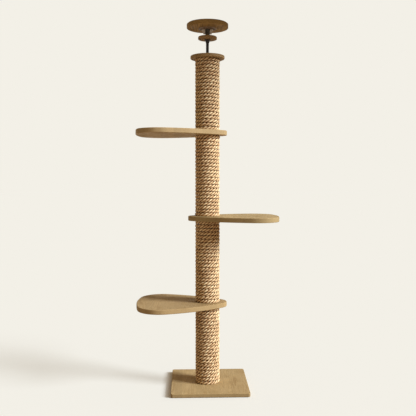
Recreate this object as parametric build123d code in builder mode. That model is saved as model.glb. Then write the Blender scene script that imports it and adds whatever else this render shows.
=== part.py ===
from build123d import *
import math
import os

os.makedirs("parts", exist_ok=True)

# A cat tree that is wedged between floor and ceiling. Millimetres, +Z up. The origin is on
# the floor, on the axis of the post. The shelves point along -X, +X and -X.

# Base board and the mat under it
base_side = 500.0
base_thickness = 23.5
base_corner_radius = 14.0
base_edge_radius = 3.0
base_shift_x = 12.5
base_shift_y = 8.5
mat_thickness = 2.0
mat_inset = 6.0

# Post: heights of the four wound sections, their tubes and plugs
section_1_height = 504.5
section_2_height = 533.0
section_3_height = 524.0
section_4_height = 461.5
tube_diameter = 116.0
tube_wall = 8.0
plug_thickness = 36.0
plug_clearance = 0.15
plug_chamfer = 1.0

# Rope on the post
rope_diameter = 21.9
turn_gap = 0.85
seat_gap = 0.3
gap_steps = 20

# Shelf boards, seen from above with the free end along +X
shelf_thickness = 30.5
shelf_reach = 464.5
shelf_tail = 126.5
shelf_width = 533.0
shelf_nose_radius = 91.0
shelf_corner_radius = 145.0
shelf_flank_radius = 890.0
shelf_end_radius = 750.0
shelf_edge_radius = 4.0

# Collar on the top section
collar_diameter = 221.0
collar_thickness = 19.0
disc_edge_radius = 4.0

# Spindle and its nut
spindle_diameter = 20.0
spindle_chamfer = 2.0
thread_clearance = 0.05
spindle_show = 105.5
travel_up = 60.0
end_reserve = 9.0
nut_flange_diameter = 60.0
nut_flange_thickness = 6.0
nut_barrel_diameter = 32.0
nut_length = 60.0
pocket_clearance = 0.2

# Journal on the spindle's upper end, with a groove that holds the ceiling head on
journal_diameter = 16.0
journal_length = 38.0
journal_clearance = 0.15
journal_end_gap = 2.0
groove_depth = 1.5
groove_width = 6.0
groove_height = 24.0

# Hand wheel, its flared nut, lock nut and thrust washer
flared_nut_height = 21.0
flared_nut_rim = 3.0
flared_nut_top_diameter = 36.0
flared_nut_foot_diameter = 23.0
wheel_diameter = 121.5
wheel_thickness = 18.5
wheel_edge_radius = 5.0
lock_nut_flats = 30.0
lock_nut_height = 8.0
lock_nut_recess_diameter = 38.0
washer_diameter = 27.0
washer_thickness = 2.5

# Ceiling head
wheel_to_disc = 53.2
running_gap = 0.3
socket_diameter = 27.5
socket_fillet = 3.0
flange_diameter = 118.0
flange_thickness = 5.0
web_thickness = 5.0
web_height = 32.0
web_foot_reach = 26.0
web_to_screw = 1.25
disc_diameter = 268.0
disc_thickness = 27.0
pad_diameter = 256.0
pad_thickness = 2.5
retaining_screw_diameter = 5.0
retaining_screw_stand = 0.8

# Studs, base bolt and insert nuts that pull the sections together
stud_diameter = 10.0
stud_clearance = 0.5
stud_overrun = 6.0
insert_flange_diameter = 26.0
insert_flange_thickness = 2.0
insert_barrel_diameter = 14.0
insert_barrel_length = 18.0
insert_clearance = 0.05
bolt_head_flats = 17.0
bolt_head_height = 6.4
base_washer_diameter = 34.0
base_washer_thickness = 3.0
counterbore_clearance = 1.0
counterbore_gap = 0.6

# Wood screws and the circles that they stand on
collar_screw_circle = 76.0
collar_screw_count = 4
collar_screw_diameter = 5.0
collar_screw_head_diameter = 10.0
collar_screw_length = 45.0
nut_screw_circle = 46.0
nut_screw_count = 4
nut_screw_diameter = 4.0
nut_screw_head_diameter = 8.0
nut_screw_length = 16.0
flange_screw_circle = 84.0
flange_screw_count = 6
flange_screw_diameter = 5.0
flange_screw_head_diameter = 9.5
flange_screw_length = 24.0
rope_screw_diameter = 4.0
rope_screw_head_diameter = 9.0
rope_screw_length = 52.0
pan_head_height = 3.0
screw_clearance = 0.1
screw_tip_share = 0.15
recess_width = 1.2
recess_depth = 1.6

# Levels along the post
base_top = mat_thickness + base_thickness
section_heights = (section_1_height, section_2_height, section_3_height, section_4_height)
section_feet = []
next_foot = base_top
for section_height in section_heights:
    section_feet.append(next_foot)
    next_foot += section_height + shelf_thickness
collar_bottom = next_foot - shelf_thickness
collar_top = collar_bottom + collar_thickness
nut_bottom = collar_top - nut_length
spindle_bottom = nut_bottom - travel_up - end_reserve
wheel_bottom = collar_top + spindle_show
wheel_top = wheel_bottom + wheel_thickness
washer_top = wheel_top + washer_thickness
socket_bottom = washer_top + running_gap
disc_bottom = wheel_top + wheel_to_disc
disc_top = disc_bottom + disc_thickness
flange_bottom = disc_bottom - flange_thickness
web_bottom = flange_bottom - web_height
washer_bottom = mat_thickness + counterbore_gap + bolt_head_height
counterbore_depth = counterbore_gap + bolt_head_height + base_washer_thickness

# Radii that several pieces share
tube_radius = tube_diameter / 2
tube_bore_radius = tube_radius - tube_wall
rope_radius = rope_diameter / 2
winding_radius = tube_radius + seat_gap + rope_radius
rope_outer_radius = winding_radius + rope_radius
spindle_radius = spindle_diameter / 2
spindle_bore_radius = spindle_radius + thread_clearance
journal_radius = journal_diameter / 2
journal_bore_radius = journal_radius + journal_clearance
barrel_hole_radius = nut_barrel_diameter / 2 + pocket_clearance
stud_radius = stud_diameter / 2
stud_hole_radius = stud_radius + stud_clearance
rope_screw_hole_radius = rope_screw_diameter / 2 + screw_clearance


def turn_levels(foot, height):
    """Levels of the rope's centre line in front of the post, lowest first."""
    span = height - 2 * seat_gap - rope_diameter
    climbs = math.floor(span / (rope_diameter + turn_gap))
    return [foot + seat_gap + rope_radius + span * turn / climbs for turn in range(climbs + 1)]


def rope_end_planes(levels):
    """Planes on the rope's outside, over its two ends, with normals away from the post."""
    lower = Plane(origin=(-rope_outer_radius, rope_radius, levels[0]), z_dir=(-1, 0, 0))
    upper = Plane(origin=(rope_outer_radius, rope_radius, levels[-1]), z_dir=(1, 0, 0))
    return lower, upper


def wood_screw(shank_diameter, head_diameter, length, sunk):
    """Screw along Z with its head's seat, or a sunk head's top, at level 0 and its tip below."""
    shank = shank_diameter / 2
    head = head_diameter / 2
    tip_start = -length * (1 - screw_tip_share)
    head_top = 0 if sunk else pan_head_height
    with BuildPart() as screw:
        with BuildSketch(Plane.XZ):
            with BuildLine():
                Polyline((0, head_top), (0, -length), (shank, tip_start))
                if sunk:
                    Polyline((shank, tip_start), (shank, shank - head), (head, 0), (0, 0))
                else:
                    rim = (head, pan_head_height / 3)
                    Polyline((shank, tip_start), (shank, 0), (head, 0), rim)
                    TangentArc((0, head_top), rim, tangent=(1, 0))
            make_face()
        revolve(axis=Axis.Z)
        with BuildSketch(Plane.XY.offset(head_top)):
            Rectangle(head, recess_width)
            Rectangle(recess_width, head)
        extrude(amount=-recess_depth, mode=Mode.SUBTRACT)
    return screw.part


# Base board, let in from below for the bolt's head and washer
with BuildPart() as base_plate:
    with BuildSketch(Plane.XY.offset(mat_thickness)):
        with Locations((base_shift_x, base_shift_y)):
            RectangleRounded(base_side, base_side, base_corner_radius)
    extrude(amount=base_thickness)
    base_rims = base_plate.edges().group_by(Axis.Z)
    fillet(base_rims[0] + base_rims[-1], radius=base_edge_radius)
    with Locations(Plane(origin=(0, 0, mat_thickness), z_dir=(0, 0, -1))):
        CounterBoreHole(
            radius=stud_hole_radius,
            counter_bore_radius=base_washer_diameter / 2 + counterbore_clearance,
            counter_bore_depth=counterbore_depth,
        )
base_plate.part.label = "base_plate"
export_step(base_plate.part, "parts/base_plate.step")

# Non-slip mat that the base stands on
with BuildPart() as base_mat:
    with BuildSketch():
        with Locations((base_shift_x, base_shift_y)):
            mat_side = base_side - 2 * mat_inset
            RectangleRounded(mat_side, mat_side, base_corner_radius)
    extrude(amount=mat_thickness)
base_mat.part.label = "base_mat"
export_step(base_mat.part, "parts/base_mat.step")

# Washer above the bolt's head
with BuildPart() as base_washer:
    with BuildSketch(Plane.XY.offset(washer_bottom)):
        Circle(base_washer_diameter / 2)
        Circle(stud_hole_radius, mode=Mode.SUBTRACT)
    extrude(amount=base_washer_thickness)
base_washer.part.label = "base_washer"
export_step(base_washer.part, "parts/base_washer.step")

# Bolt from the base into the insert nut of the lowest plug
with BuildPart() as base_bolt:
    with BuildSketch(Plane.XY.offset(washer_bottom)):
        RegularPolygon(bolt_head_flats / 2, 6, major_radius=False)
    extrude(amount=-bolt_head_height)
    bolt_top = base_top + plug_thickness + insert_flange_thickness + stud_overrun
    with BuildSketch(Plane.XY.offset(washer_bottom)):
        Circle(stud_radius)
    extrude(amount=bolt_top - washer_bottom)
base_bolt.part.label = "base_bolt"
export_step(base_bolt.part, "parts/base_bolt.step")

# Post sections: tube, lower plug, upper plug and rope, numbered from the floor
for number, (foot, height) in enumerate(zip(section_feet, section_heights), start=1):
    head = foot + height
    levels = turn_levels(foot, height)
    screw_planes = rope_end_planes(levels)
    is_top = number == len(section_feet)

    with BuildPart() as post_tube:
        with BuildSketch(Plane.XY.offset(foot)):
            Circle(tube_radius)
            Circle(tube_bore_radius, mode=Mode.SUBTRACT)
        extrude(amount=height)
        for plane in screw_planes:
            with BuildSketch(plane):
                Circle(rope_screw_hole_radius)
            extrude(amount=-(rope_outer_radius - tube_bore_radius + tube_wall), mode=Mode.SUBTRACT)
    post_tube.part.label = f"post_tube_{number}"
    export_step(post_tube.part, f"parts/post_tube_{number}.step")

    with BuildPart() as lower_plug:
        with BuildSketch(Plane.XY.offset(foot)):
            Circle(tube_bore_radius - plug_clearance)
        extrude(amount=plug_thickness)
        chamfer(lower_plug.edges(), length=plug_chamfer)
        with Locations((0, 0, foot + plug_thickness)):
            CounterBoreHole(
                radius=stud_hole_radius,
                counter_bore_radius=insert_barrel_diameter / 2 + insert_clearance,
                counter_bore_depth=insert_barrel_length,
            )
        with BuildSketch(screw_planes[0]):
            Circle(rope_screw_hole_radius)
        extrude(amount=-rope_screw_length - screw_clearance, mode=Mode.SUBTRACT)
    lower_plug.part.label = f"lower_plug_{number}"
    export_step(lower_plug.part, f"parts/lower_plug_{number}.step")

    with BuildPart() as upper_plug:
        with BuildSketch(Plane.XY.offset(head - plug_thickness)):
            Circle(tube_bore_radius - plug_clearance)
        extrude(amount=plug_thickness)
        chamfer(upper_plug.edges(), length=plug_chamfer)
        if is_top:
            with Locations((0, 0, head)):
                Hole(barrel_hole_radius)
                with PolarLocations(collar_screw_circle / 2, collar_screw_count, start_angle=45):
                    Hole(
                        collar_screw_diameter / 2 + screw_clearance,
                        depth=collar_screw_length - collar_thickness + screw_clearance,
                    )
        else:
            with Locations(Plane(origin=(0, 0, head - plug_thickness), z_dir=(0, 0, -1))):
                CounterBoreHole(
                    radius=stud_hole_radius,
                    counter_bore_radius=insert_barrel_diameter / 2 + insert_clearance,
                    counter_bore_depth=insert_barrel_length,
                )
        with BuildSketch(screw_planes[1]):
            Circle(rope_screw_hole_radius)
        extrude(amount=-rope_screw_length - screw_clearance, mode=Mode.SUBTRACT)
    upper_plug.part.label = f"upper_plug_{number}"
    export_step(upper_plug.part, f"parts/upper_plug_{number}.step")

    # Each turn lies level in front of the post and climbs to the next one behind it
    with BuildPart() as rope_winding:
        with BuildLine() as rope_route:
            route_pieces = [
                Line((-winding_radius, rope_diameter, levels[0]), (-winding_radius, 0, levels[0]))
            ]
            for turn, turn_level in enumerate(levels):
                left = (-winding_radius, 0, turn_level)
                front = (0, -winding_radius, turn_level)
                right = (winding_radius, 0, turn_level)
                route_pieces.append(ThreePointArc(left, front, right))
                if turn + 1 < len(levels):
                    rise = levels[turn + 1] - turn_level
                    crest = Vector(0, math.hypot(winding_radius, rise / 2), turn_level + rise / 2)
                    next_left = (-winding_radius, 0, turn_level + rise)
                    heading = Vector(-2 * winding_radius, 0, rise)
                    route_pieces.append(TangentArc(right, crest, tangent=(0, 1, 0)))
                    route_pieces.append(TangentArc(crest, next_left, tangent=heading))
            route_pieces.append(Line(right, (winding_radius, rope_diameter, levels[-1])))
        rope_start = Plane(origin=(-winding_radius, rope_diameter, levels[0]), z_dir=(0, -1, 0))
        with BuildSketch(rope_start):
            Circle(rope_radius)
        sweep(path=rope_route.line)
        for plane in screw_planes:
            with BuildSketch(plane):
                Circle(rope_screw_hole_radius)
            extrude(amount=-rope_diameter - seat_gap, mode=Mode.SUBTRACT)
    rope_winding.part.label = f"rope_winding_{number}"
    export_step(rope_winding.part, f"parts/rope_winding_{number}.step")

    # The least gap to itself, among points that lie half a turn to one and a half turns apart
    points = [piece @ (step / gap_steps) for piece in route_pieces for step in range(gap_steps)]
    half_turn = 3 * gap_steps // 2
    spacing = min(
        (far - near).length
        for index, near in enumerate(points)
        for far in points[index + half_turn : index + 3 * half_turn]
    )
    print(f"rope {number}: {len(levels)} turns, least gap {spacing - rope_diameter:.2f} mm")

# Screws through the rope ends into the plugs
rope_screw = wood_screw(rope_screw_diameter, rope_screw_head_diameter, rope_screw_length, False)
with BuildPart() as rope_end_screws:
    for foot, height in zip(section_feet, section_heights):
        with Locations(*rope_end_planes(turn_levels(foot, height))):
            add(rope_screw)
rope_end_screws.part.label = "rope_end_screws"
export_step(rope_end_screws.part, "parts/rope_end_screws.step")

# Insert nuts, with their flanges on the inner faces of the plugs
with BuildPart() as insert_nut:
    with BuildSketch():
        Circle(insert_flange_diameter / 2)
    extrude(amount=insert_flange_thickness)
    with BuildSketch():
        Circle(insert_barrel_diameter / 2)
    extrude(amount=-insert_barrel_length)
    Hole(stud_radius + insert_clearance)
with BuildPart() as insert_nuts:
    for foot, height in zip(section_feet, section_heights):
        with Locations(Plane(origin=(0, 0, foot + plug_thickness))):
            add(insert_nut.part)
    for foot, height in zip(section_feet[:-1], section_heights):
        upper_face = foot + height - plug_thickness
        with Locations(Plane(origin=(0, 0, upper_face), z_dir=(0, 0, -1))):
            add(insert_nut.part)
insert_nuts.part.label = "insert_nuts"
export_step(insert_nuts.part, "parts/insert_nuts.step")

# Studs through the shelves, one end in the plug below and one in the plug above
with BuildPart() as shelf_studs:
    for foot in section_feet[1:]:
        stud_reach = plug_thickness + insert_flange_thickness + stud_overrun
        with BuildSketch(Plane.XY.offset(foot - shelf_thickness - stud_reach)):
            Circle(stud_radius)
        extrude(amount=shelf_thickness + 2 * stud_reach)
    chamfer(shelf_studs.edges(), length=1.0)
shelf_studs.part.label = "shelf_studs"
export_step(shelf_studs.part, "parts/shelf_studs.step")

# Centres and touching points of the five kinds of arc round a shelf
nose_centre = Vector(shelf_nose_radius - shelf_tail, 0)
end_centre = Vector(shelf_reach - shelf_end_radius, 0)
corner_y = shelf_width / 2 - shelf_corner_radius
corner_offset = math.sqrt((shelf_end_radius - shelf_corner_radius) ** 2 - corner_y**2)
corner_centre = Vector(end_centre.X + corner_offset, corner_y)
nose_to_corner = corner_centre - nose_centre
from_nose = shelf_flank_radius - shelf_nose_radius
from_corner = shelf_flank_radius - shelf_corner_radius
along = (from_nose**2 - from_corner**2 + nose_to_corner.length**2) / (2 * nose_to_corner.length)
across = math.sqrt(from_nose**2 - along**2)
flank_heading = nose_to_corner.normalized()
flank_side = Vector(flank_heading.Y, -flank_heading.X)
flank_centre = nose_centre + flank_heading * along + flank_side * across
nose_touch = nose_centre + (nose_centre - flank_centre).normalized() * shelf_nose_radius
corner_touch = corner_centre + (corner_centre - flank_centre).normalized() * shelf_corner_radius
end_touch = corner_centre + (corner_centre - end_centre).normalized() * shelf_corner_radius
shelf_places = (
    ("lower_shelf", section_feet[1], -1),
    ("middle_shelf", section_feet[2], 1),
    ("upper_shelf", section_feet[3], -1),
)

for shelf_name, shelf_top, side in shelf_places:
    shelf_plane = Plane(origin=(0, 0, shelf_top - shelf_thickness), x_dir=(side, 0, 0))
    with BuildPart() as shelf:
        with BuildSketch(shelf_plane):
            with BuildLine():
                nose = TangentArc((-shelf_tail, 0), nose_touch, tangent=(0, 1))
                flank = TangentArc(nose_touch, corner_touch, tangent=nose % 1)
                corner = TangentArc(corner_touch, end_touch, tangent=flank % 1)
                TangentArc(end_touch, (shelf_reach, 0), tangent=corner % 1)
                mirror(about=Plane.XZ)
            make_face()
        extrude(amount=shelf_thickness)
        shelf_rims = shelf.edges().group_by(Axis.Z)
        fillet(shelf_rims[0] + shelf_rims[-1], radius=shelf_edge_radius)
        with Locations((0, 0, shelf_top)):
            Hole(stud_hole_radius)
    shelf.part.label = shelf_name
    export_step(shelf.part, f"parts/{shelf_name}.step")

# Collar, with a pocket for the spindle nut's flange
with BuildPart() as top_collar:
    with BuildSketch(Plane.XY.offset(collar_bottom)):
        Circle(collar_diameter / 2)
    extrude(amount=collar_thickness)
    fillet(top_collar.edges(), radius=disc_edge_radius)
    with Locations((0, 0, collar_top)):
        CounterBoreHole(
            radius=barrel_hole_radius,
            counter_bore_radius=nut_flange_diameter / 2 + pocket_clearance,
            counter_bore_depth=nut_flange_thickness,
        )
        with PolarLocations(collar_screw_circle / 2, collar_screw_count, start_angle=45):
            CounterSinkHole(
                radius=collar_screw_diameter / 2 + screw_clearance,
                counter_sink_radius=collar_screw_head_diameter / 2 + screw_clearance,
                counter_sink_angle=90,
            )
        with PolarLocations(nut_screw_circle / 2, nut_screw_count):
            Hole(nut_screw_diameter / 2 + screw_clearance, depth=nut_screw_length + screw_clearance)
top_collar.part.label = "top_collar"
export_step(top_collar.part, "parts/top_collar.step")

# Screws from the collar down into the topmost plug
collar_screw = wood_screw(
    collar_screw_diameter, collar_screw_head_diameter, collar_screw_length, True
)
with BuildPart() as collar_screws:
    with Locations((0, 0, collar_top)):
        with PolarLocations(collar_screw_circle / 2, collar_screw_count, start_angle=45):
            add(collar_screw)
collar_screws.part.label = "collar_screws"
export_step(collar_screws.part, "parts/collar_screws.step")

# Flanged nut that the spindle runs in
with BuildPart() as spindle_nut:
    with BuildSketch(Plane.XY.offset(collar_top)):
        Circle(nut_flange_diameter / 2)
    extrude(amount=-nut_flange_thickness)
    with BuildSketch(Plane.XY.offset(collar_top)):
        Circle(nut_barrel_diameter / 2)
    extrude(amount=-nut_length)
    with Locations((0, 0, collar_top)):
        Hole(spindle_bore_radius)
        with PolarLocations(nut_screw_circle / 2, nut_screw_count):
            CounterSinkHole(
                radius=nut_screw_diameter / 2 + screw_clearance,
                counter_sink_radius=nut_screw_head_diameter / 2 + screw_clearance,
                depth=nut_flange_thickness + screw_clearance,
                counter_sink_angle=90,
            )
spindle_nut.part.label = "spindle_nut"
export_step(spindle_nut.part, "parts/spindle_nut.step")

# Screws of the nut's flange
nut_screw = wood_screw(nut_screw_diameter, nut_screw_head_diameter, nut_screw_length, True)
with BuildPart() as nut_screws:
    with Locations((0, 0, collar_top)):
        with PolarLocations(nut_screw_circle / 2, nut_screw_count):
            add(nut_screw)
nut_screws.part.label = "nut_screws"
export_step(nut_screws.part, "parts/nut_screws.step")

# Spindle: threaded length up to the hand wheel's top, then the journal
with BuildPart() as spindle:
    with BuildSketch(Plane.XZ):
        with BuildLine():
            journal_top = wheel_top + journal_length
            groove_middle = wheel_top + groove_height
            groove_radius = journal_radius - groove_depth
            Polyline(
                (0, spindle_bottom),
                (spindle_radius - spindle_chamfer, spindle_bottom),
                (spindle_radius, spindle_bottom + spindle_chamfer),
                (spindle_radius, wheel_top),
                (journal_radius, wheel_top),
                (journal_radius, groove_middle - groove_width / 2),
                (groove_radius, groove_middle - groove_width / 2),
                (groove_radius, groove_middle + groove_width / 2),
                (journal_radius, groove_middle + groove_width / 2),
                (journal_radius, journal_top),
                (0, journal_top),
                close=True,
            )
        make_face()
    revolve(axis=Axis.Z)
spindle.part.label = "spindle"
export_step(spindle.part, "parts/spindle.step")

# Flared nut under the hand wheel
with BuildPart() as flared_nut:
    with BuildSketch(Plane.XZ):
        with BuildLine():
            flared_nut_bottom = wheel_bottom - flared_nut_height
            flare_foot = (flared_nut_foot_diameter / 2, flared_nut_bottom)
            flare_rim = (flared_nut_top_diameter / 2, wheel_bottom - flared_nut_rim)
            TangentArc(flare_foot, flare_rim, tangent=(0, 1))
            Polyline(
                flare_rim,
                (flared_nut_top_diameter / 2, wheel_bottom),
                (spindle_bore_radius, wheel_bottom),
                (spindle_bore_radius, flared_nut_bottom),
                flare_foot,
            )
        make_face()
    revolve(axis=Axis.Z)
flared_nut.part.label = "flared_nut"
export_step(flared_nut.part, "parts/flared_nut.step")

# Hand wheel, with a recess for the lock nut
with BuildPart() as hand_wheel:
    with BuildSketch(Plane.XY.offset(wheel_bottom)):
        Circle(wheel_diameter / 2)
    extrude(amount=wheel_thickness)
    fillet(hand_wheel.edges(), radius=wheel_edge_radius)
    with Locations((0, 0, wheel_top)):
        CounterBoreHole(
            radius=spindle_bore_radius,
            counter_bore_radius=lock_nut_recess_diameter / 2,
            counter_bore_depth=lock_nut_height,
        )
hand_wheel.part.label = "hand_wheel"
export_step(hand_wheel.part, "parts/hand_wheel.step")

# Lock nut, flush with the hand wheel's top
with BuildPart() as lock_nut:
    with BuildSketch(Plane.XY.offset(wheel_top)):
        RegularPolygon(lock_nut_flats / 2, 6, major_radius=False)
        Circle(spindle_bore_radius, mode=Mode.SUBTRACT)
    extrude(amount=-lock_nut_height)
lock_nut.part.label = "lock_nut"
export_step(lock_nut.part, "parts/lock_nut.step")

# Thrust washer between the turning lock nut and the still socket
with BuildPart() as thrust_washer:
    with BuildSketch(Plane.XY.offset(wheel_top)):
        Circle(washer_diameter / 2)
        Circle(journal_bore_radius, mode=Mode.SUBTRACT)
    extrude(amount=washer_thickness)
thrust_washer.part.label = "thrust_washer"
export_step(thrust_washer.part, "parts/thrust_washer.step")

# Ceiling flange with the socket that the journal turns in, stiffened by a web on each side
with BuildPart() as ceiling_flange:
    with BuildSketch(Plane.XY.offset(disc_bottom)):
        Circle(flange_diameter / 2)
    extrude(amount=-flange_thickness)
    with BuildSketch(Plane.XY.offset(socket_bottom)):
        Circle(socket_diameter / 2)
    extrude(amount=flange_bottom - socket_bottom)
    socket_root = ceiling_flange.edges().filter_by(GeomType.CIRCLE).filter_by_position(
        Axis.Z, flange_bottom - 0.1, flange_bottom + 0.1
    )
    fillet(socket_root.sort_by(SortBy.RADIUS)[0], radius=socket_fillet)
    web_reach = (flange_screw_circle - flange_screw_head_diameter) / 2 - web_to_screw
    with BuildSketch(Plane.XZ):
        Polygon(
            (-web_reach, flange_bottom),
            (web_reach, flange_bottom),
            (web_foot_reach, web_bottom),
            (-web_foot_reach, web_bottom),
            align=None,
        )
    extrude(amount=web_thickness / 2, both=True)
    socket_depth = journal_top + journal_end_gap - socket_bottom
    with Locations(Plane(origin=(0, 0, socket_bottom), z_dir=(0, 0, -1))):
        Hole(journal_bore_radius, depth=socket_depth)
    with Locations(Plane(origin=(0, 0, flange_bottom), z_dir=(0, 0, -1))):
        with PolarLocations(flange_screw_circle / 2, flange_screw_count):
            Hole(flange_screw_diameter / 2 + screw_clearance, depth=flange_thickness)
    with BuildSketch(Plane(origin=(0, 0, groove_middle), z_dir=(0, 1, 0))):
        Circle(retaining_screw_diameter / 2 + screw_clearance)
    extrude(amount=socket_diameter, mode=Mode.SUBTRACT)
ceiling_flange.part.label = "ceiling_flange"
export_step(ceiling_flange.part, "parts/ceiling_flange.step")

# Retaining screw, whose tip runs in the journal's groove
with BuildPart() as retaining_screw:
    tip_radius = groove_radius + running_gap
    screw_end_radius = socket_diameter / 2 + retaining_screw_stand
    with BuildSketch(Plane(origin=(0, tip_radius, groove_middle), z_dir=(0, 1, 0))):
        Circle(retaining_screw_diameter / 2)
    extrude(amount=screw_end_radius - tip_radius)
    with BuildSketch(Plane(origin=(0, screw_end_radius, groove_middle), z_dir=(0, 1, 0))):
        RegularPolygon(retaining_screw_diameter / 4, 6, major_radius=False)
    extrude(amount=-retaining_screw_diameter / 2, mode=Mode.SUBTRACT)
retaining_screw.part.label = "retaining_screw"
export_step(retaining_screw.part, "parts/retaining_screw.step")

# Screws of the ceiling flange, driven up into the ceiling disc
flange_screw = wood_screw(
    flange_screw_diameter, flange_screw_head_diameter, flange_screw_length, False
)
with BuildPart() as flange_screws:
    with Locations(Plane(origin=(0, 0, flange_bottom), z_dir=(0, 0, -1))):
        with PolarLocations(flange_screw_circle / 2, flange_screw_count):
            add(flange_screw)
flange_screws.part.label = "flange_screws"
export_step(flange_screws.part, "parts/flange_screws.step")

# Ceiling disc
with BuildPart() as ceiling_disc:
    with BuildSketch(Plane.XY.offset(disc_bottom)):
        Circle(disc_diameter / 2)
    extrude(amount=disc_thickness)
    fillet(ceiling_disc.edges(), radius=disc_edge_radius)
    with Locations(Plane(origin=(0, 0, disc_bottom), z_dir=(0, 0, -1))):
        with PolarLocations(flange_screw_circle / 2, flange_screw_count):
            Hole(
                flange_screw_diameter / 2 + screw_clearance,
                depth=flange_screw_length - flange_thickness + screw_clearance,
            )
ceiling_disc.part.label = "ceiling_disc"
export_step(ceiling_disc.part, "parts/ceiling_disc.step")

# Non-slip pad against the ceiling
with BuildPart() as ceiling_pad:
    with BuildSketch(Plane.XY.offset(disc_top)):
        Circle(pad_diameter / 2)
    extrude(amount=pad_thickness)
ceiling_pad.part.label = "ceiling_pad"
export_step(ceiling_pad.part, "parts/ceiling_pad.step")
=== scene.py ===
"""Dresses the floor-to-ceiling cat tree: rope, wood and metal finishes, threaded spindle and studio.

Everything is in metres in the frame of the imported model, +Z up, with the floor at level 0 and the
post on the Z axis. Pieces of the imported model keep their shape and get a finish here. The four rope
windings and the spindle are built anew, with twisted strands and a cut thread.
"""

import logging
import math
import random
from dataclasses import dataclass, field, replace
from enum import Enum

import bmesh
import bpy
import numpy as np
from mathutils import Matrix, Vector


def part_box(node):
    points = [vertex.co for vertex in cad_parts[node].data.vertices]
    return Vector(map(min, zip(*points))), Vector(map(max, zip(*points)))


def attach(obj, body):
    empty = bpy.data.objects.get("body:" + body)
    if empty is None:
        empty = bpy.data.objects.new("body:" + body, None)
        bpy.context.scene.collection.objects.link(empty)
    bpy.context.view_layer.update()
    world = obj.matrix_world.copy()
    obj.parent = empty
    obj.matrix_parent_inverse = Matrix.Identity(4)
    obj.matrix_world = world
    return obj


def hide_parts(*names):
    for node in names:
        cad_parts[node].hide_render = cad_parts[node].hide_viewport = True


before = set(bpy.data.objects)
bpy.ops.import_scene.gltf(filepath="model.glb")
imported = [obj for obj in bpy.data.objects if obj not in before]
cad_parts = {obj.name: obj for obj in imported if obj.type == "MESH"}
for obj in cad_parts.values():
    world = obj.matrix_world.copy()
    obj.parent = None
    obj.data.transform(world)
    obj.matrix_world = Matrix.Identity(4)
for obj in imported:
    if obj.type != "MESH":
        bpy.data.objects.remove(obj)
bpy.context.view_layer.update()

logging.basicConfig(level=logging.INFO, format="%(message)s")
log = logging.getLogger("cat_tree")

MM = 0.001

Colour = tuple[float, float, float]
Socket = bpy.types.NodeSocket
Feed = Socket | float | tuple


def tint(red: int, green: int, blue: int) -> Colour:
    """Turns a colour as it is seen on a screen into the linear colour that a shader takes.

    Args:
        red: Red from 0 to 255.
        green: Green from 0 to 255.
        blue: Blue from 0 to 255.

    Returns:
        The linear red, green and blue, each from 0 to 1.
    """
    shares = (red / 255, green / 255, blue / 255)
    return tuple(s / 12.92 if s <= 0.04045 else ((s + 0.055) / 1.055) ** 2.4 for s in shares)


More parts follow.
